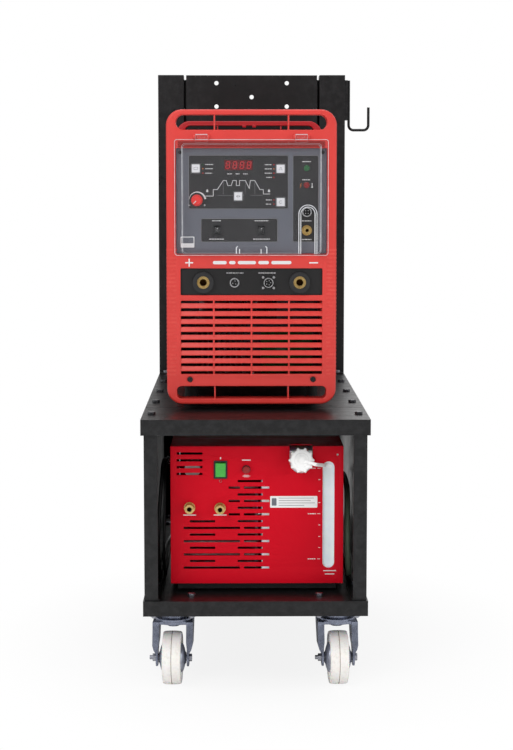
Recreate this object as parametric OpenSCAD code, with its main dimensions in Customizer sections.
// TIG welding set: an inverter power source with a hinged clear lid over its
// control panel, standing on a two-level wheeled trolley, with a water cooler
// in the lower bay. Millimetres, +Z up, front towards -Y. The origin is on the
// floor, in the middle of the overall footprint.

/* [Trolley] */
// Width of the deck over its skirts
deck_w = 420; // [400:1:440]
// Depth of the deck, front skirt to rear skirt
deck_d = 900; // [880:10:960]
// Height of the deck's top face above the floor
deck_z = 506.5; // [495:0.5:530]
// Height of the deck's skirt, sheet included
deck_skirt = 29; // [22:1:40]
// Depth of the short front deck plate
deck_split = 189; // [150:1:230]
// Height of the base tray's floor above the floor
tray_z = 170; // [170:1:170]
// Thickness of the deck, tray and panel sheet
sheet = 3; // [3:0.5:3]
// Height of the top of the upright
upright_z = 1179; // [1120:1:1240]
// Distance from front skirt to the upright's face
upright_y = 850; // [850:1:850]
// Width of each upright column
column_w = 57.5; // [50:0.5:62]
// Radius of the five holes in the upright panel
upright_hole_r = 4.75; // [3:0.25:6]
// Width and height between the four outer holes
upright_hole_dx = 158; // [120:1:200]
upright_hole_dz = 52; // [40:1:60]

/* [Cable hook] */
// Radius of the hook's rod
hook_rod_r = 3; // [2:0.5:4]
// Distance between the hook's two legs
hook_w = 44.5; // [35:0.5:60]

/* [Casters] */
// Radius of each wheel
wheel_r = 50; // [48:0.5:51]
// Width of the wheel's tread
wheel_w = 35; // [30:0.5:40]
// Distance of each caster's swivel axis from the middle
caster_x = 154; // [150:1:156]
// Distance of each caster's axis from the trolley's ends
caster_y = 90; // [80:1:110]
// Lead of a swivel wheel's axle ahead of its swivel axis
caster_lead = 30; // [25:1:32]
// Angle that the left and the right swivel caster stand at
left_swivel = -2; // [-20:1:20]
right_swivel = 2; // [-20:1:20]

/* [Power source] */
// Width, height and depth of the power source over its end frames
ps_w = 320; // [316:1:324]
ps_h = 554.5; // [554:0.5:556]
ps_d = 641; // [620:1:650]
// Distance of its front face behind the front skirt
ps_front = 145; // [140:1:150]
// Sideways place of its middle on the deck
ps_x = -6.2; // [-8:0.1:-4]
// Depth of the front and rear end frames
frame_t = 45; // [45:1:50]
// Radius of the bore in each output socket's brass insert
socket_bore_r = 6.6; // [6:0.1:7]
// How far a push button travels
button_travel = 0.8; // [0.4:0.1:1]

/* [Water cooler] */
// Width and height of the cooler's case
wc_w = 323.8; // [320:0.1:326]
wc_h = 260.2; // [260:0.1:262]
// Depth of the cooler's case
wc_d = 517; // [480:1:560]
// Distance of its front face behind the front skirt
wc_front = 83; // [80:1:86]
// Sideways place of its middle
wc_x = 3.4; // [2:0.1:5]
// Upward tilt of the filler neck
neck_tilt = 12; // [10:1:16]
// Radius of the bore in each water coupling
water_bore_r = 4.5; // [3:0.1:5]

/* [Hidden] */
$fn = 48;

hw = deck_w / 2;
yf = -deck_d / 2;              // front skirt face
yr = deck_d / 2;
uy = yf + upright_y;           // upright's front face
hook_x = hw + 6.5 + hook_rod_r;
hook_out = hook_x + hook_w + hook_rod_r;
x0 = -(hook_out - hw) / 2;     // puts the origin in the middle of the footprint
post_x = hw - 5.5;             // outer face of the side panels
bolt_x = 193;
bolt_ys = [for (d = [80, 275, 465, 655]) yf + d];
foot_y = uy - 13;
cast_fy = yf + caster_y;
cast_ry = yr - caster_y;
plate_dx = 35;
plate_dy = 42;
plate_z = tray_z - 28;         // top of the caster plates
ax_z = wheel_r;

wy = yf + ps_front;            // power source front face
wz0 = deck_z + 11.5;
wz1 = wz0 + ps_h;
wb = wy + ps_d;
pan_y = wy + 12;               // front of control panel
fy = yf + wc_front;            // cooler front face
cz0 = tray_z + 16;
cz1 = cz0 + wc_h;
wcb = fy + wc_d;

black = [0.15, 0.15, 0.155];
shellred = [0.86, 0.27, 0.23];
coolred = [0.73, 0.08, 0.14];
slate = [0.38, 0.41, 0.45];
ink = [0.2, 0.2, 0.21];
brass = [0.78, 0.62, 0.35];
steel = [0.6, 0.61, 0.63];
zinc = [0.42, 0.43, 0.47];
nylon = [0.92, 0.9, 0.88];
pale = [0.85, 0.85, 0.85];

module at0() translate([x0, 0, 0]) children();
module box(a, b) translate(a) cube([b[0] - a[0], b[1] - a[1], b[2] - a[2]]);
module ex(y0, y1) translate([0, y1, 0]) rotate([90, 0, 0]) linear_extrude(height = y1 - y0) children();
module exx(xa, xb) translate([xa, 0, 0]) rotate([90, 0, 90]) linear_extrude(height = xb - xa) children();
module ycyl(x, z, y0, y1, r) translate([x, y1, z]) rotate([90, 0, 0]) cylinder(r = r, h = y1 - y0);
module xcyl(xa, xb, y, z, r) translate([xa, y, z]) rotate([0, 90, 0]) cylinder(r = r, h = xb - xa);
function arc(cx, cy, r, a, n) = [for (i = [0:n]) [cx + r * cos(a + 90 * i / n), cy + r * sin(a + 90 * i / n)]];
function rr(w, h, r, n = 6) = concat(arc(w / 2 - r, h / 2 - r, r, 0, n), arc(-w / 2 + r, h / 2 - r, r, 90, n),
  arc(-w / 2 + r, -h / 2 + r, r, 180, n), arc(w / 2 - r, -h / 2 + r, r, 270, n));
module rrect(x, z, w, h, r, n = 6) translate([x, z]) polygon(rr(w, h, r, n));
module rect(xa, za, xb, zb) translate([xa, za]) square([xb - xa, zb - za]);
module both() { children(); mirror([1, 0, 0]) children(); }

// ---------------------------------------------------------------- trolley
module bolt_holes_deck() for (s = [-1, 1]) {
  for (y = bolt_ys) translate([s * bolt_x, y, deck_z - 20]) cylinder(r = 4.5, h = 30);
  translate([s * bolt_x, foot_y, deck_z - 20]) cylinder(r = 4.5, h = 30);
}
module skirted(ya, yb, front) {
  z1 = deck_z;
  box([-hw, ya, z1 - sheet], [hw, yb, z1]);
  for (s = [-1, 1]) box([s > 0 ? hw - sheet : -hw, ya, z1 - deck_skirt], [s > 0 ? hw : -hw + sheet, yb, z1 - 1]);
  if (front) box([-hw, ya, z1 - deck_skirt], [hw, ya + sheet, z1 - 1]);
  else box([-hw, yb - sheet, z1 - deck_skirt], [hw, yb, z1 - 1]);
}
module deck_plates() at0() color(black) {
  difference() { skirted(yf, yf + deck_split, true); bolt_holes_deck(); }
  difference() { skirted(yf + deck_split + 3, yr, false); bolt_holes_deck(); }
}
module side_panel() {
  z0 = tray_z; z1 = deck_z - sheet;
  difference() {
    union() {
      box([post_x - sheet, yf + 7, z0], [post_x, yr - 7, z1]);
      box([post_x - 32, yf + 9, z1 - sheet], [post_x - 1, yr - 9, z1]);
      box([post_x - 28, yf + 9, z0], [post_x - 1, yr - 9, z0 + sheet]);
      box([post_x - 25, yf + 7, z0], [post_x - 1, yf + 10, z1]);
      box([post_x - 25, yr - 10, z0], [post_x - 1, yr - 7, z1]);
    }
    for (y = bolt_ys) translate([bolt_x, y, z1 - 10]) cylinder(r = 4.5, h = 20);
    translate([bolt_x, foot_y, z1 - 10]) cylinder(r = 4.5, h = 20);
    for (y = [cast_fy, cast_ry], d = [-plate_dy, plate_dy]) translate([caster_x + plate_dx, y + d, z0 - 5]) cylinder(r = 4.5, h = 12);
  }
}
module lower_panels() at0() color(black) both() side_panel();
module base_tray() at0() color(black) {
  z0 = tray_z - 28; tw = 207;
  difference() {
    union() {
      box([-tw, yf, tray_z - sheet], [tw, yr, tray_z]);
      box([-tw, yf, z0], [tw, yf + sheet, tray_z - 1]);
      box([-tw, yr - sheet, z0], [tw, yr, tray_z - 1]);
      box([-tw, yf, z0], [-tw + sheet, yr, tray_z - 1]);
      box([tw - sheet, yf, z0], [tw, yr, tray_z - 1]);
      for (y = [cast_fy, cast_ry]) {
        box([-tw + 1, y - 53, z0], [tw - 1, y + 53, z0 + sheet]);
        box([-tw + 1, y - 53, z0], [tw - 1, y - 50, tray_z - 1]);
        box([-tw + 1, y + 50, z0], [tw - 1, y + 53, tray_z - 1]);
      }
    }
    for (s = [-1, 1], y = [cast_fy, cast_ry], a = [-plate_dx, plate_dx], b = [-plate_dy, plate_dy])
      translate([s * caster_x + a, y + b, z0 - 5]) cylinder(r = 4.5, h = 45);
  }
}
module upright_frame() at0() color(black) {
  zt = upright_z;
  difference() {
    union() {
      both() {
        box([hw - column_w, uy, deck_z], [hw, uy + 2.5, zt]);
        box([hw - 2.5, uy, deck_z], [hw, uy + 48, zt]);
        box([hw - column_w, uy, deck_z], [hw - column_w + 2.5, uy + 48, zt]);
        box([hw - 16, uy + 45.5, deck_z], [hw, uy + 48, zt]);
        box([hw - 46, uy - 26, deck_z], [hw - 3, uy + 2.5, deck_z + 3]);
        box([hw - column_w - 9, uy + 46.2, deck_z], [hw - column_w + 2.5, uy + 48, zt - 8]);
      }
      for (z = [545, 795, 1035]) box([-hw + 1, uy + 46.2, z], [hw - 1, uy + 50, z + 42]);
    }
    bolt_holes_deck();
  }
}
module upright_panel() at0() color(black) {
  pw = hw - column_w - 5.5; z0 = deck_z + 2.5; z1 = upright_z - 0.5; zh = z1 - 43.5;
  difference() {
    union() {
      box([-pw, uy, z0], [pw, uy + 2, z1]);
      box([-pw, uy, z0], [-pw + 2, uy + 46, z1]);
      box([pw - 2, uy, z0], [pw, uy + 46, z1]);
      box([-pw, uy, z1 - 2], [pw, uy + 14, z1]);
    }
    for (sx = [-1, 1], sz = [-1, 1]) ycyl(sx * upright_hole_dx / 2, zh + sz * upright_hole_dz / 2, uy - 5, uy + 10, upright_hole_r);
    ycyl(0, zh - 5, uy - 5, uy + 10, upright_hole_r);
  }
}
module cable_hook() at0() color(black) {
  y = uy + 20; r = hook_rod_r; b = 11; zb = 1057; zt = 1168;
  box([hw, y - 15, 1079], [hw + 6.7, y + 15, zt]);
  translate([hook_x, y, zb + b]) cylinder(r = r, h = zt - zb - b);
  translate([hook_x + b, y, zb + b]) rotate([90, 0, 0]) rotate([0, 0, 180]) rotate_extrude(angle = 90) translate([b, 0]) circle(r = r);
  translate([hook_x + b, y, zb]) rotate([0, 90, 0]) cylinder(r = r, h = hook_w - 2 * b);
  translate([hook_x + hook_w - b, y, zb + b]) rotate([90, 0, 0]) rotate([0, 0, 270]) rotate_extrude(angle = 90) translate([b, 0]) circle(r = r);
  translate([hook_x + hook_w, y, zb + b]) cylinder(r = r, h = 40);
}
// M8 hexagon bolt with its nut: head seat at z, nut seat at zn
module hexbolt(x, y, z, zn) translate([x, y, 0]) {
  translate([0, 0, z]) cylinder(r = 7.5, h = 5.3, $fn = 6);
  translate([0, 0, zn - 9]) cylinder(r = 4, h = z - zn + 10);
  translate([0, 0, zn - 6.5]) cylinder(r = 7.5, h = 6.5, $fn = 6);
}
module hex_bolts() at0() color(zinc) for (s = [-1, 1]) {
  for (y = bolt_ys) hexbolt(s * bolt_x, y, deck_z, deck_z - 2 * sheet);
  hexbolt(s * bolt_x, foot_y, deck_z + 3, deck_z - 2 * sheet);
  for (y = [cast_fy, cast_ry], a = [-plate_dx, plate_dx], b = [-plate_dy, plate_dy])
    hexbolt(s * caster_x + a, y + b, tray_z + (a * s > 0 ? sheet : 0), plate_z - 5);
}

// ---------------------------------------------------------------- casters
module caster_plates() at0() color(zinc) for (s = [-1, 1]) translate([s * caster_x, cast_fy, 0]) {
  difference() {
    union() {
      box([-46, -53, plate_z - 5], [46, 53, plate_z]);
      translate([0, 0, plate_z - 14]) cylinder(r = 29, h = 10);
      translate([0, 0, 106]) cylinder(r = 6, h = plate_z - 110);
      translate([0, 0, 104.5]) cylinder(r = 11, h = 4);
    }
    for (a = [-plate_dx, plate_dx], b = [-plate_dy, plate_dy]) translate([a, b, plate_z - 10]) cylinder(r = 4.5, h = 15);
    difference() {
      translate([0, 0, plate_z - 16]) cylinder(r = 24, h = 8);
      translate([0, 0, plate_z - 17]) cylinder(r = 13, h = 10);
    }
  }
}
// fork: crown at the top, two pressed legs leading forward to the axle
module fork_legs(lead, top) intersection() {
  union() both() translate([0, 60, 0]) rotate([90, 0, 0]) linear_extrude(height = 160)
    polygon([[25.5, top], [37.7, top], [37.7, 74], [35.5, 66], [31, 59], [31, 34], [27, 34], [27, 68], [25.5, 80]]);
  translate([-60, 0, 0]) rotate([90, 0, 90]) linear_extrude(height = 120)
    polygon([[-30, top], [30, top], [30, top - 8], [-lead + 15, 55], [-lead + 14, 42], [-lead + 8, 35],
      [-lead - 8, 35], [-lead - 14, 42], [-lead - 14, 58], [-30, top - 12]]);
}
module caster_fork(a, s) translate([s * caster_x, cast_fy, 0]) rotate([0, 0, a]) difference() {
  union() {
    fork_legs(caster_lead, 117);
    translate([0, 0, 111]) cylinder(r = 31, h = 6.5);
    box([-37.7, -26, 111], [37.7, 26, 117]);
    translate([0, 0, 117]) cylinder(r = 33.5, h = 4.5);
    translate([0, 0, 121]) cylinder(r = 22, h = 6);
  }
  translate([0, 0, 90]) cylinder(r = 6.06, h = 50);
  xcyl(-60, 60, -caster_lead, ax_z, 4.1);
}
module left_caster_fork() at0() color(zinc) caster_fork(left_swivel, -1);
module right_caster_fork() at0() color(zinc) caster_fork(right_swivel, 1);
module wheel() rotate([0, 90, 0]) rotate_extrude($fn = 96) polygon([
  [6.06, -25.5], [10, -25.5], [12, -24], [26, -19.4], [28, -15], [38, -15], [39.6, -wheel_w / 2 + 1], [46.6, -wheel_w / 2],
  [wheel_r - 1.2, -wheel_w / 2 + 2.2], [wheel_r - 0.3, -8], [wheel_r, -0.9], [wheel_r - 1, 0],
  [wheel_r, 0.9], [wheel_r - 0.3, 8], [wheel_r - 1.2, wheel_w / 2 - 2.2], [46.6, wheel_w / 2],
  [39.6, wheel_w / 2 - 1], [38, 15], [28, 15], [26, 19.4], [12, 24], [10, 25.5], [6.06, 25.5]]);
module front_wheel(a, s) translate([s * caster_x, cast_fy, 0]) rotate([0, 0, a]) translate([0, -caster_lead, ax_z]) wheel();
module left_front_wheel() at0() color(nylon) front_wheel(left_swivel, -1);
module right_front_wheel() at0() color(nylon) front_wheel(right_swivel, 1);
module axle() {
  xcyl(-27, 27, 0, 0, 6);
  xcyl(-43, 32, 0, 0, 4);
  translate([-31, 0, 0]) rotate([0, -90, 0]) cylinder(r = 7.5, h = 6.5, $fn = 6);
  translate([31, 0, 0]) rotate([0, 90, 0]) cylinder(r = 7.5, h = 5.3, $fn = 6);
}
module front_axle(a, s) translate([s * caster_x, cast_fy, 0]) rotate([0, 0, a]) translate([0, -caster_lead, ax_z]) axle();
module left_caster_axle() at0() color(steel) front_axle(left_swivel, -1);
module right_caster_axle() at0() color(steel) front_axle(right_swivel, 1);
module rear_casters() at0() color(zinc) for (s = [-1, 1]) translate([s * caster_x, cast_ry, 0]) {
  difference() {
    union() {
      box([-46, -53, plate_z - 5], [46, 53, plate_z]);
      box([-37.7, -30, 131], [37.7, 30, 138]);
      intersection() {
        fork_legs(0, 136);
        box([-60, -60, 0], [60, 60, 136]);
      }
    }
    for (a = [-plate_dx, plate_dx], b = [-plate_dy, plate_dy]) translate([a, b, plate_z - 10]) cylinder(r = 4.5, h = 15);
    xcyl(-60, 60, 0, ax_z, 4.1);
  }
  translate([0, 0, ax_z]) axle();
}
module left_rear_wheel() at0() color(nylon) translate([-caster_x, cast_ry, ax_z]) wheel();
module right_rear_wheel() at0() color(nylon) translate([caster_x, cast_ry, ax_z]) wheel();

// ---------------------------------------------------------------- rocker switches
// housing: flange w by h standing proud of the face, body behind it
module rocker_housing(x, z, face, w, h) {
  translate([x, 0, z]) difference() {
    union() {
      ex(face - 2, face) polygon(rr(w, h, 1.5, 4));
      ex(face - 0.5, face + 20) polygon(rr(w - 3.4, h - 3.4, 0.6, 2));
    }
    ex(face - 5, face + 12) rect(-w / 2 + 3, -h / 2 + 2.6, w / 2 - 3, h / 2 - 2.6);
    xcyl(-w / 2 + 2.1, w / 2 - 2.1, face + 5, 0, 1.56);
  }
}
module rocker(x, z, face, w, h, tilt) translate([x, face + 5, z]) rotate([tilt, 0, 0]) {
  k = h / 2 - 3.8;
  exx(-w / 2 + 3.25, w / 2 - 3.25) polygon([[-7.6, k], [-6.2, 0], [-7.6, -k], [-1, -k], [3.5, -k * 0.5], [3.5, k * 0.5], [-1, k]]);
  xcyl(-w / 2 + 2.3, w / 2 - 2.3, 0, 0, 1.5);
}
cs_x = -64.8; cs_z = cz0 + 216.2; fu_x = -16.6; fu_z = cz0 + 216.9;
lr_x = ps_x - 64.4; rr_x = ps_x + 18.9; rk_z = wz0 + 329.3;
module rocker_housings() at0() color(ink) {
  rocker_housing(lr_x, rk_z, pan_y - 0.4, 17, 22);
  rocker_housing(rr_x, rk_z, pan_y - 0.4, 17, 22);
  rocker_housing(cs_x, cs_z, fy, 25.5, 34);
}
module left_function_rocker() at0() color(ink) rocker(lr_x, rk_z, pan_y - 0.4, 17, 22, 7);
module right_function_rocker() at0() color(ink) rocker(rr_x, rk_z, pan_y - 0.4, 17, 22, 7);
module cooler_switch_rocker() at0() color([0.2, 0.72, 0.2]) rocker(cs_x, cs_z, fy, 25.5, 34, 7);

// ---------------------------------------------------------------- water cooler
wout = [-122.8, cz0 + 144.5]; win = [-65.7, cz0 + 143.5];
neck = [86, fy - 13, cz0 + 234.7];
win_x = 137.6; win_z = [cz0 + 29.5, cz0 + 231.4];
module slot(xa, xb, z) rect(xa, cz0 + z - 2.1, xb, cz0 + z + 2.1);
module cooler_front_panel() at0() color(coolred) ex(fy, fy + 2) difference() {
  rect(wc_x - wc_w / 2, cz0, wc_x + wc_w / 2, cz1);
  for (i = [0:3]) slot(-146.7, -98.6, 246.7 - 12.87 * i);
  for (i = [0:6]) slot(-32.7, 14, 194.4 - 25.33 * i);
  for (i = [0:2]) { slot(-49.6, -28.6, 182 - 25.3 * i); slot(-20.9, 26.6, 182 - 25.3 * i); }
  for (i = [0:3]) { slot(-134.1, -28.6, 105.6 - 25.2 * i); slot(-20.9, 26.6, 105.6 - 25.2 * i); slot(-122.5, -75.2, 118.2 - 25.2 * i); }
  rect(cs_x - 11.2, cs_z - 15.5, cs_x + 11.2, cs_z + 15.5);
  translate([fu_x, fu_z]) circle(r = 6);
  translate(wout) circle(r = 7);
  translate(win) circle(r = 7);
  rrect(win_x, (win_z[0] + win_z[1]) / 2, 22.2, win_z[1] - win_z[0], 11, 8);
  translate([neck[0], neck[2] - 4]) circle(r = 21.5);
  rect(neck[0] - 21.5, neck[2] - 4, neck[0] + 21.5, cz1 + 5);
  translate([154.1, cz0 + 244.2]) circle(r = 2);
}
module cooler_cover() at0() color(coolred) difference() {
  ex(fy + 2, wcb) difference() {
    rect(wc_x - wc_w / 2, cz0, wc_x + wc_w / 2, cz1);
    rect(wc_x - wc_w / 2 + 1.5, cz0 - 5, wc_x + wc_w / 2 - 1.5, cz1 - 1.5);
  }
  for (s = [-1, 1], i = [0:7]) box([wc_x + s * wc_w / 2 - 5, fy + 80, cz0 + 60 + 16 * i], [wc_x + s * wc_w / 2 + 5, fy + 230, cz0 + 64 + 16 * i]);
  translate([neck[0], 0, cz1 - 5]) box([-21.5, fy, 0], [21.5, fy + 24, 10]);
}
module cooler_base() at0() color(black) {
  difference() {
    box([wc_x - wc_w / 2 + 1.6, fy + 2.1, cz0], [wc_x + wc_w / 2 - 1.6, wcb - 2, cz0 + 2]);
    for (i = [0:5]) box([-40 + 16 * i, wcb - 160, cz0 - 2], [-32 + 16 * i, wcb - 60, cz0 + 5]);
  }
  box([wc_x - wc_w / 2 + 1.6, wcb - 2, cz0], [wc_x + wc_w / 2 - 1.6, wcb, cz0 + 40]);
  difference() {
    box([wc_x - 149.5, fy + 10, tray_z + 4], [wc_x + 149.5, wcb - 10, cz0]);
    box([wc_x - 147, fy + 12.5, tray_z], [wc_x + 147, wcb - 12.5, cz0 - 2]);
  }
}
module neck_frame() translate(neck) rotate([90 - neck_tilt, 0, 0]) children();
module coolant_tank() at0() color([0.86, 0.88, 0.88]) difference() {
  union() {
    box([12, fy + 4, cz0 + 3], [157.5, fy + 200, cz1 - 9]);
    neck_frame() translate([0, 0, -22]) cylinder(r = 15, h = 28);
  }
  box([15, fy + 7, cz0 + 6], [154.5, fy + 197, cz1 - 12]);
  neck_frame() translate([0, 0, -28]) cylinder(r = 12, h = 50);
}
module filler_cap() at0() color(nylon) neck_frame() difference() {
  union() {
    translate([0, 0, 2]) cylinder(r = 21.5, h = 15);
    for (i = [0:9]) rotate([0, 0, 36 * i]) translate([20, 0, 2.5]) cylinder(r = 4.4, h = 12.5);
    translate([0, 0, 16.5]) cylinder(r = 13, h = 2.2);
    translate([0, 0, 18]) cylinder(r = 4, h = 3.9);
    translate([0, 0, 20.9]) cylinder(r = 6.2, h = 1.8);
  }
  translate([0, 0, 1]) cylinder(r = 15.08, h = 9);
}
// strap: an eye round the cap's button, and a band bent back through the
// window to lie on the tank
module cap_strap() at0() color(nylon) {
  neck_frame() difference() {
    union() {
      translate([0, 0, 19.2]) cylinder(r = 8.2, h = 1.2);
      translate([0, 0, 19.2]) rotate([0, 0, -17]) translate([5, -3.4, 0]) cube([23.4, 6.8, 1.2]);
    }
    translate([0, 0, 18]) cylinder(r = 4.08, h = 4);
  }
  translate([neck[0], 0, neck[2] + 4.4]) rotate([0, 17, 0]) translate([0, 0, -3.9]) linear_extrude(height = 6.6)
    polygon([[26.6, fy - 34], [28.4, fy - 34], [48.6, fy - 4], [49.4, fy + 2.6], [60, fy + 2.6], [60, fy + 3.9], [48.2, fy + 3.9], [47.4, fy - 3.5]]);
}
module fuse_holder() at0() color(ink) difference() {
  union() {
    ycyl(fu_x, fu_z, fy - 3, fy, 7.6);
    ycyl(fu_x, fu_z, fy - 1, fy + 30, 5.9);
    translate([fu_x, fy + 5, fu_z]) rotate([90, 0, 0]) cylinder(r = 8.5, h = 3, $fn = 6);
  }
  ycyl(fu_x, fu_z, fy - 5, fy + 26, 4.56);
}
module fuse_cap() at0() color([0.5, 0.12, 0.1]) {
  ycyl(fu_x, fu_z, fy - 10, fy - 3.2, 6.4);
  difference() {
    ycyl(fu_x, fu_z, fy - 11.5, fy - 9, 4.2);
    box([fu_x - 3.4, fy - 12, fu_z - 0.5], [fu_x + 3.4, fy - 10.2, fu_z + 0.5]);
  }
  ycyl(fu_x, fu_z, fy - 4, fy + 22, 4.5);
}
module water_couplings() at0() color(brass) for (p = [wout, win]) difference() {
  union() {
    ycyl(p[0], p[1], fy - 3, fy, 10.6);
    translate([p[0], fy - 3, p[1]]) rotate([90, 0, 0]) cylinder(r = 10.2, h = 7, $fn = 6);
    ycyl(p[0], p[1], fy - 22, fy - 2, 7.4);
    ycyl(p[0], p[1], fy - 22, fy - 17, 8.6);
    ycyl(p[0], p[1], fy - 1, fy + 26, 6.8);
    translate([p[0], fy + 8, p[1]]) rotate([90, 0, 0]) cylinder(r = 10.4, h = 5.9, $fn = 6);
  }
  ycyl(p[0], p[1], fy - 25, fy + 2, water_bore_r);
}
rx = -68; rz = cz0 + 96;
module radiator() at0() color([0.7, 0.71, 0.72]) {
  difference() {
    box([rx - 74, fy + 36, rz - 82], [rx + 74, fy + 78, rz + 82]);
    for (i = [0:19]) box([rx - 68, fy + 30, rz - 78 + 8 * i], [rx + 68, fy + 84, rz - 73.5 + 8 * i]);
  }
  for (i = [0:2]) box([rx - 70 + 67 * i, fy + 50, rz - 80], [rx - 64 + 67 * i, fy + 64, rz + 80]);
}
module cooler_fan() at0() color(ink) translate([rx, fy + 96, rz]) rotate([90, 0, 0]) difference() {
  union() {
    cylinder(r = 20, h = 16, center = true);
    for (i = [0:6]) rotate([0, 0, i * 360 / 7]) translate([45, 0, 0]) rotate([28, 0, 0]) cube([60, 30, 2.2], center = true);
  }
  cylinder(r = 5.06, h = 40, center = true);
}
module coolant_pump() at0() color(steel) {
  ycyl(rx, rz, fy + 84, fy + 120, 5);
  ycyl(rx, rz, fy + 118, fy + 250, 46);
  ycyl(rx, rz, fy + 249, fy + 292, 34);
  ycyl(rx, rz, fy + 291, fy + 312, 9);
  translate([rx, fy + 270, rz]) cylinder(r = 9, h = 60);
  box([rx - 50, fy + 135, cz0 + 2], [rx + 50, fy + 235, cz0 + 8]);
  ycyl(-118, cz0 + 212, fy + 26, fy + 92, 15);
  box([-121, fy + 42, rz + 82.05], [-115, fy + 72, cz0 + 200]);
  box([rx - 30, fy + 140, cz0 + 7], [rx + 30, fy + 230, rz - 30]);
}

// ---------------------------------------------------------------- power source
pz = (wz0 + wz1) / 2;
hy = wy - 6; hz = wz0 + 503;   // lid hinge axis
bt = [[ps_x - 104.6, wz0 + 444.8], [ps_x + 54.8, wz0 + 444.2], [ps_x - 25, wz0 + 392.7], [ps_x + 55, wz0 + 381.9]];
kn = [ps_x - 102.7, wz0 + 385.3];
lamps = [[ps_x + 103.9, wz0 + 445.6], [ps_x + 103.9, wz0 + 413.7]];
rem = [ps_x + 104.4, wz0 + 363.2]; gas = [ps_x + 104.4, wz0 + 328.9];
soc = [[ps_x - 91, wz0 + 230.9], [ps_x + 91, wz0 + 230.9]];
fsw = [ps_x - 32, wz0 + 230.5]; tsw = [ps_x + 32, wz0 + 230.5];
fan = [ps_x, wz0 + 180]; knm = [ps_x + 78, wz0 + 410]; gln = [ps_x - 78, wz0 + 410]; gin = [ps_x + 78, wz0 + 330];
module frame_face() translate([ps_x, pz]) polygon(rr(ps_w, ps_h, 30, 10));
module grips() {
  difference() {
    rrect(ps_x, wz0 + 530.9, 284, 28.6, 14, 8);
    for (s = [-1, 1]) rect(ps_x + s * 69.5 - 1.3, wz0 + 510, ps_x + s * 69.5 + 1.3, wz1);
  }
  difference() {
    rrect(ps_x, wz0 + 22.6, 283, 24, 9, 6);
    for (s = [-1, 1]) rect(ps_x + s * 69.5 - 1.3, wz0, ps_x + s * 69.5 + 1.3, wz0 + 60);
  }
}
module lug(x) translate([x, 0, 0]) difference() {
  union() { xcyl(-1.75, 1.75, hy, hz, 4.5); box([-1.75, hy, hz - 3.5], [1.75, wy + 1, hz + 4.4]); }
  xcyl(-5, 5, hy, hz, 2.06);
}
module front_bezel() at0() color(shellred) {
  gz = wz0 + 57.3; gh = 139.3;   // air inlet
  difference() {
    ex(wy, wy + frame_t) difference() { frame_face(); grips(); }
    ex(wy - 5, wy + 15) rect(ps_x - 142, wz0 + 285, ps_x + 142, wz0 + 482.7);
    ex(wy - 5, wy + 30) rect(ps_x - 137, wz0 + 290, ps_x + 137, wz0 + 477);
    ex(wy - 5, wy + 9) rect(ps_x - 133.7, wz0 + 206.9, ps_x + 133.7, wz0 + 257.6);
    ex(wy - 5, wy + 30) rect(ps_x - 128, wz0 + 211, ps_x + 128, wz0 + 253);
    ex(wy - 5, wy + 30) rect(ps_x - 133.5, gz, ps_x + 133.5, gz + gh);
    ex(wy + 19, wy + frame_t + 5) rect(ps_x - 156.3, wz0 + 37.5, ps_x + 156.3, wz0 + 513.3);
    for (s = [-1, 1]) { ycyl(ps_x + s * 116.5, wz0 + 47.3, wy - 5, wy + 3, 6); ycyl(ps_x + s * 116.5, wz0 + 47.3, wy - 5, wy + 30, 2.6); }
  }
  for (i = [0:8]) exx(ps_x - 134, ps_x + 134) polygon([[wy + 6, gz + 14.92 * i + 15], [wy + 3.2, gz + 14.92 * i + 15],
    [wy + 0.6, gz + 14.92 * i + 4.9], [wy + 4.5, gz + 14.92 * i + 4.9]]);
  for (x = [-71.2, 0, 70.8]) box([ps_x + x - 1.6, wy + 1.8, gz - 1], [ps_x + x + 1.6, wy + 19, gz + gh + 1]);
  for (s = [-1, 1], t = [-13.3, 13.3]) lug(ps_x + s * 93.5 + t);
}
module rear_bezel() at0() color(shellred) {
  difference() {
    ex(wb - frame_t, wb) difference() { frame_face(); grips(); rect(ps_x - 142, wz0 + 44, ps_x + 142, wz0 + 507); }
    ex(wb - frame_t - 5, wb - 25) rect(ps_x - 156.3, wz0 + 37.5, ps_x + 156.3, wz0 + 513.3);
  }
  for (s = [-1, 1]) box([ps_x + s * 11 - 4, wb - frame_t, wz0 + 541], [ps_x + s * 11 + 4, wb - frame_t + 12, wz0 + 547]);
}
module welder_cover() at0() color(shellred) difference() {
  ex(wy + 40, wb - 40) difference() {
    translate([ps_x, wz0 + 275.5]) polygon(rr(312, 475, 8, 4));
    translate([ps_x, wz0 + 275.5]) polygon(rr(309, 472, 6.5, 4));
    rect(ps_x - 140, wz0 + 30, ps_x + 140, wz0 + 60);
  }
  for (s = [-1, 1], j = [0, 1], i = [0:15]) box([ps_x + s * 155.5 - 6, wy + 110 + 250 * j, wz0 + 70 + 15 * i], [ps_x + s * 155.5 + 6, wy + 280 + 250 * j, wz0 + 74 + 15 * i]);
}
module welder_base() at0() color(black) {
  difference() {
    box([ps_x - 152.2, wy + 42, wz0 + 42], [ps_x + 152.2, wb - 42, wz0 + 44]);
    for (i = [0:9]) box([ps_x - 100 + 20 * i, wy + 90, wz0 + 30], [ps_x - 94 + 20 * i, wy + 230, wz0 + 60]);
  }
  for (s = [-1, 1]) box([ps_x + s * 151.2 - 1, wy + 42, wz0 + 43], [ps_x + s * 151.2 + 1, wb - 42, wz0 + 62]);
}
module rubber_feet() at0() color([0.1, 0.1, 0.1]) {
  for (s = [-1, 1], y = [wy + 112, wb - 70]) translate([ps_x + s * 118, y, deck_z]) {
    cylinder(r = 12, h = 45); translate([0, 0, 44]) cylinder(r = 10, h = 9.5);
  }
  for (s = [-1, 1], y = [fy + 30, wcb - 40]) translate([wc_x + s * 92, y, tray_z]) cylinder(r = 10, h = 14);
}
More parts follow.
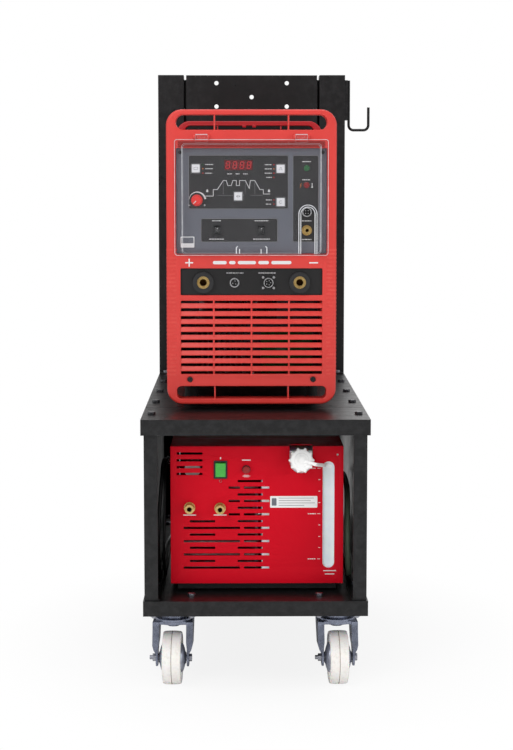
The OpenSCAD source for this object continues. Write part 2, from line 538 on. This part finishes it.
module panel_cuts(g) {
  for (b = bt) translate(b) square(15.3 + 2 * g, center = true);
  translate(kn) circle(r = 4);
  for (x = [lr_x, rr_x]) rect(x - 6.8 - g, rk_z - 9.3 - g, x + 6.8 + g, rk_z + 9.3 + g);
  for (l = lamps) translate(l) circle(r = 4.6);
  translate(rem) circle(r = 7.2);
  translate(gas) circle(r = 6.2);
}
module control_panel() at0() color(slate) difference() {
  ex(pan_y, pan_y + 3) difference() {
    rrect(ps_x, wz0 + 383.85, 283.6, 197.3, 2, 3);
    panel_cuts(0.25);
    for (s = [-1, 1]) translate([ps_x + s * 134, wz0 + 475]) circle(r = 2.4);
  }
}
module panel_overlays() at0() color(ink) ex(pan_y - 0.4, pan_y) difference() {
  union() {
    rrect(ps_x - 24.2, wz0 + 419.3, 187.9, 101.4, 3, 4);
    rrect(ps_x - 22.8, wz0 + 329, 145.3, 45, 3, 4);
    rrect(ps_x + 102.2, wz0 + 388.2, 49, 163.2, 3, 4);
  }
  panel_cuts(0.25);
}
module button(p) {
  translate([p[0], 0, p[1]]) {
    ex(pan_y - 4, pan_y + 3.6) polygon(rr(15.3, 15.3, 1.6, 4));
    ex(pan_y + 3.5, pan_y + 4.8) square(18, center = true);
  }
}
module upper_left_button() at0() color(pale) button(bt[0]);
module upper_right_button() at0() color(pale) button(bt[1]);
module centre_button() at0() color(pale) button(bt[2]);
module lower_right_button() at0() color(pale) button(bt[3]);
module current_knob() at0() color([0.92, 0.2, 0.18]) {
  difference() {
    union() {
      ycyl(kn[0], kn[1], pan_y - 16, pan_y - 1.2, 9.2);
      ycyl(kn[0], kn[1], pan_y - 4.5, pan_y - 1.2, 10.8);
      for (i = [0:17]) translate([kn[0], 0, kn[1]]) rotate([0, 20 * i, 0]) box([8.6, pan_y - 14.5, -0.7], [9.9, pan_y - 4, 0.7]);
    }
    translate([kn[0], 0, kn[1]]) rotate([0, -45, 0]) box([-10, pan_y - 17, -0.7], [-1.5, pan_y - 15.3, 0.7]);
  }
  ycyl(kn[0], kn[1], pan_y - 3, pan_y + 16, 3);
}
module connector_strip() at0() color(ink) ex(wy + 6, wy + 9) difference() {
  rect(ps_x - 133.5, wz0 + 207.1, ps_x + 133.5, wz0 + 257.4);
  for (p = soc) translate(p) circle(r = 17.2);
  translate(fsw) circle(r = 7.2);
  translate(tsw) circle(r = 8.2);
  for (a = [-10.1, 10.1], b = [-10, 10]) translate([tsw[0] + a, tsw[1] + b]) circle(r = 1.7);
}
module socket_housings() at0() color([0.1, 0.1, 0.1]) for (p = soc) difference() {
  union() {
    ycyl(p[0], p[1], wy - 3, wy + 6, 19.8);
    ycyl(p[0], p[1], wy + 5, wy + 34, 17);
    translate([p[0], wy + 20, p[1]]) rotate([90, 0, 0]) cylinder(r = 20.6, h = 8, $fn = 6);
  }
  ycyl(p[0], p[1], wy - 10, wy + 60, 11.8);
}
module socket_inserts() at0() color(brass) for (p = soc) difference() {
  union() {
    ycyl(p[0], p[1], wy - 1, wy + 46, 11.75);
    translate([p[0], wy + 45, p[1]]) rotate([90, 0, 0]) cylinder(r = 13.5, h = 8, $fn = 6);
  }
  ycyl(p[0], p[1], wy - 5, wy + 31, socket_bore_r);
  box([p[0] - 1.9, wy - 5, p[1] - 9], [p[0] + 1.9, wy + 6, p[1]]);
}
module connector(p, face, r, np) difference() {
  union() {
    ycyl(p[0], p[1], face - 5.5, face, r);
    ycyl(p[0], p[1], face - 1, face + 16, 7);
  }
  difference() {
    ycyl(p[0], p[1], face - 8, face - 1.2, r - 2.3);
    for (i = [0:np - 1]) translate([p[0], 0, p[1]]) rotate([0, 45 + 360 * i / np, 0]) ycyl(3.6, 0, face - 4.6, face, 1);
  }
}
module control_connectors() at0() color(steel) {
  connector(fsw, wy + 6, 9.1, 3);
  connector(rem, pan_y - 0.4, 9.2, 4);
  difference() {
    union() {
      ex(wy + 4, wy + 6) rrect(tsw[0], tsw[1], 26, 25.6, 3, 4);
      ycyl(tsw[0], tsw[1], wy - 4, wy + 5, 9.3);
      ycyl(tsw[0], tsw[1], wy + 5, wy + 24, 8);
      for (a = [-10.1, 10.1], b = [-10, 10]) { ycyl(tsw[0] + a, tsw[1] + b, wy + 2.6, wy + 5, 2.4); ycyl(tsw[0] + a, tsw[1] + b, wy + 4, wy + 12, 1.5); }
    }
    difference() {
      ycyl(tsw[0], tsw[1], wy - 6, wy + 4, 7.6);
      for (i = [0:4]) translate([tsw[0], 0, tsw[1]]) rotate([0, 72 * i, 0]) ycyl(4.2, 0, wy - 1, wy + 5, 1);
    }
  }
}
module gas_outlet() at0() color(brass) difference() {
  union() {
    ycyl(gas[0], gas[1], pan_y - 2.4, pan_y - 0.4, 9.6);
    translate([gas[0], pan_y - 2.4, gas[1]]) rotate([90, 0, 0]) cylinder(r = 9, h = 4, $fn = 6);
    ycyl(gas[0], gas[1], pan_y - 18, pan_y - 2, 6.6);
    ycyl(gas[0], gas[1], pan_y - 1, pan_y + 20, 6);
    translate([gas[0], pan_y + 9, gas[1]]) rotate([90, 0, 0]) cylinder(r = 9, h = 5.5, $fn = 6);
  }
  ycyl(gas[0], gas[1], pan_y - 20, pan_y + 8, 3.2);
}
// clear lid: flange against the end frame, raised box over the controls,
// hinge knuckles with moulded stub pins, U-shaped notch for hose and plug
module panel_lid() at0() color([0.8, 0.85, 0.9, 0.4]) {
  ax = ps_x + 105.6; az = wz0 + 359.6; r = 12.8;
  difference() {
    union() {
      ex(wy - 2.2, wy - 0.2) rrect(ps_x, wz0 + 390.4, 289, 217, 5, 4);
      ex(wy - 14, wy - 0.2) rrect(ps_x, wz0 + 388, 260.8, 206, 6, 4);
      ex(wy - 17, wy - 13) rrect(ps_x, wz0 + 293, 59, 14, 3, 4);
      for (s = [-1, 1]) translate([ps_x + s * 93.5, 0, 0]) {
        xcyl(-11.25, 11.25, hy, hz, 5.4);
        xcyl(-14.6, 14.6, hy, hz, 2);
        box([-11.25, hy, hz - 10], [11.25, wy - 0.3, hz]);
      }
    }
    difference() {
      ex(wy - 12, wy + 2) rrect(ps_x, wz0 + 388, 256.8, 202, 5, 4);
      ex(wy - 20, wy + 5) { translate([ax, az]) circle(r = r + 4.7); rect(ax - r - 4.7, wz0 + 270, ax + r + 4.7, az); }
    }
    ex(wy - 20, wy + 5) { translate([ax, az]) circle(r = r); rect(ax - r, wz0 + 270, ax + r, az); }
  }
}
module indicator_lamps() at0() color([0.2, 0.75, 0.3]) for (l = lamps) {
  ycyl(l[0], l[1], pan_y - 2, pan_y - 0.4, 5.8);
  ycyl(l[0], l[1], pan_y - 4.4, pan_y - 1, 4.4);
  ycyl(l[0], l[1], pan_y - 1, pan_y + 16, 4.4);
}
module screw(x, z, y, r, l) difference() {
  union() { ycyl(x, z, y - 2.4, y, r); ycyl(x, z, y - 1, y + l, r * 0.5); }
  translate([x, 0, z]) for (a = [0, 90]) rotate([0, a + 20, 0]) box([-r * 0.6, y - 3, -0.45], [r * 0.6, y - 1.2, 0.45]);
}
module case_screws() at0() color(ink) {
  for (s = [-1, 1]) {
    screw(ps_x + s * 116.5, wz0 + 47.3, wy + 3, 5, 14);
    screw(ps_x + s * 134, wz0 + 475, pan_y, 3.6, 3);
  }
  for (s = [-1, 1], y = [wy + 75, wb - 75], z = [wz0 + 52, wz0 + 495]) difference() {
    union() {
      xcyl(s > 0 ? ps_x + 156 : ps_x - 158, s > 0 ? ps_x + 158 : ps_x - 156, y, z, 4.5);
    }
    translate([0, y, z]) box([s > 0 ? ps_x + 156.8 : ps_x - 159, -3, -0.5], [s > 0 ? ps_x + 159 : ps_x - 156.8, 3, 0.5]);
  }
}
module rear_panel() at0() color(ink) ex(wb - 28, wb - 25) difference() {
  rect(ps_x - 155.5, wz0 + 38.5, ps_x + 155.5, wz0 + 512.5);
  for (i = [-7:7]) { w = 2 * sqrt(57 * 57 - 49 * i * i); rect(fan[0] - w / 2, fan[1] + 7 * i - 2, fan[0] - 3, fan[1] + 7 * i + 2); rect(fan[0] + 3, fan[1] + 7 * i - 2, fan[0] + w / 2, fan[1] + 7 * i + 2); }
  translate(knm) circle(r = 4.06);
  translate(gln) circle(r = 12.2);
  translate(gin) circle(r = 6.2);
}
module mains_knob() at0() color(ink) {
  ycyl(knm[0], knm[1], wb - 24.5, wb - 17, 20);
  box([knm[0] - 5, wb - 18, knm[1] - 19], [knm[0] + 5, wb - 4, knm[1] + 19]);
  ycyl(knm[0], knm[1], wb - 44, wb - 20, 4);
}
module rear_fittings() at0() {
  color(ink) difference() {
    union() {
      translate([gln[0], wb - 17, gln[1]]) rotate([90, 0, 0]) cylinder(r = 17, h = 8, $fn = 6);
      ycyl(gln[0], gln[1], wb - 18, wb - 4, 13.5);
      ycyl(gln[0], gln[1], wb - 40, wb - 24, 12);
    }
    ycyl(gln[0], gln[1], wb - 50, wb + 5, 7);
  }
  color(brass) difference() {
    union() {
      translate([gin[0], wb - 19, gin[1]]) rotate([90, 0, 0]) cylinder(r = 9.5, h = 6, $fn = 6);
      ycyl(gin[0], gin[1], wb - 20, wb - 2, 5);
      ycyl(gin[0], gin[1], wb - 42, wb - 24, 6);
    }
    ycyl(gin[0], gin[1], wb - 30, wb + 5, 3);
  }
}
module fan_rotor() at0() color(ink) translate([fan[0], wb - 50, fan[1]]) rotate([90, 0, 0]) difference() {
  union() {
    cylinder(r = 19, h = 18, center = true);
    for (i = [0:6]) rotate([0, 0, i * 360 / 7]) translate([35, 0, 0]) rotate([30, 0, 0]) cube([38, 26, 2], center = true);
  }
  cylinder(r = 3.06, h = 40, center = true);
}
module fan_frame() at0() color([0.18, 0.18, 0.18]) {
  difference() {
    translate([fan[0], 0, fan[1]]) box([-60, wb - 66, -60], [60, wb - 28.2, 60]);
    ycyl(fan[0], fan[1], wb - 70, wb - 20, 57);
  }
  for (a = [0, 90]) translate([fan[0], 0, fan[1]]) rotate([0, a + 45, 0]) box([-58, wb - 34, -2.5], [58, wb - 29, 2.5]);
  ycyl(fan[0], fan[1], wb - 36, wb - 28.6, 20);
  ycyl(fan[0], fan[1], wb - 62, wb - 33, 3);
}
module power_module() at0() color([0.66, 0.67, 0.68]) {
  difference() {
    box([ps_x - 110, wy + 110, wz0 + 44], [ps_x - 10, wb - 90, wz0 + 150]);
    for (i = [0:8]) box([ps_x - 104 + 11 * i, wy + 100, wz0 + 50], [ps_x - 97 + 11 * i, wb - 80, wz0 + 138]);
  }
  box([ps_x + 20, wy + 130, wz0 + 44], [ps_x + 120, wy + 240, wz0 + 130]);
  box([ps_x + 30, wy + 280, wz0 + 44], [ps_x + 110, wy + 380, wz0 + 120]);
  for (i = [0:3]) translate([ps_x - 90 + 30 * i, wy + 200, wz0 + 152]) cylinder(r = 13, h = 48);
  box([ps_x - 112, wy + 110, wz0 + 150.2], [ps_x + 10, wb - 90, wz0 + 151.9]);
}
module panel_board() at0() color([0.1, 0.36, 0.2]) difference() {
  union() {
    box([ps_x - 130, pan_y + 11, wz0 + 365], [ps_x + 75, pan_y + 12.6, wz0 + 473]);
    for (b = bt) translate([b[0], 0, b[1]]) box([-5, pan_y + 6.2, -5], [5, pan_y + 11.5, 5]);
    ycyl(kn[0], kn[1], pan_y + 5, pan_y + 18, 7);
    box([ps_x - 52, pan_y + 3.2, wz0 + 440], [ps_x + 3, pan_y + 11.5, wz0 + 462]);
  }
  ycyl(kn[0], kn[1], pan_y, pan_y + 17, 3.06);
}

deck_plates();
lower_panels();
base_tray();
upright_frame();
upright_panel();
cable_hook();
hex_bolts();
caster_plates();
left_caster_fork();
right_caster_fork();
left_front_wheel();
right_front_wheel();
left_caster_axle();
right_caster_axle();
rear_casters();
left_rear_wheel();
right_rear_wheel();
cooler_front_panel();
cooler_cover();
cooler_base();
coolant_tank();
filler_cap();
cap_strap();
cooler_switch_rocker();
fuse_holder();
fuse_cap();
water_couplings();
radiator();
cooler_fan();
coolant_pump();
front_bezel();
rear_bezel();
welder_cover();
welder_base();
rubber_feet();
control_panel();
panel_overlays();
upper_left_button();
upper_right_button();
centre_button();
lower_right_button();
current_knob();
rocker_housings();
left_function_rocker();
right_function_rocker();
connector_strip();
socket_housings();
socket_inserts();
control_connectors();
gas_outlet();
panel_lid();
indicator_lamps();
case_screws();
rear_panel();
mains_knob();
rear_fittings();
fan_rotor();
fan_frame();
power_module();
panel_board();
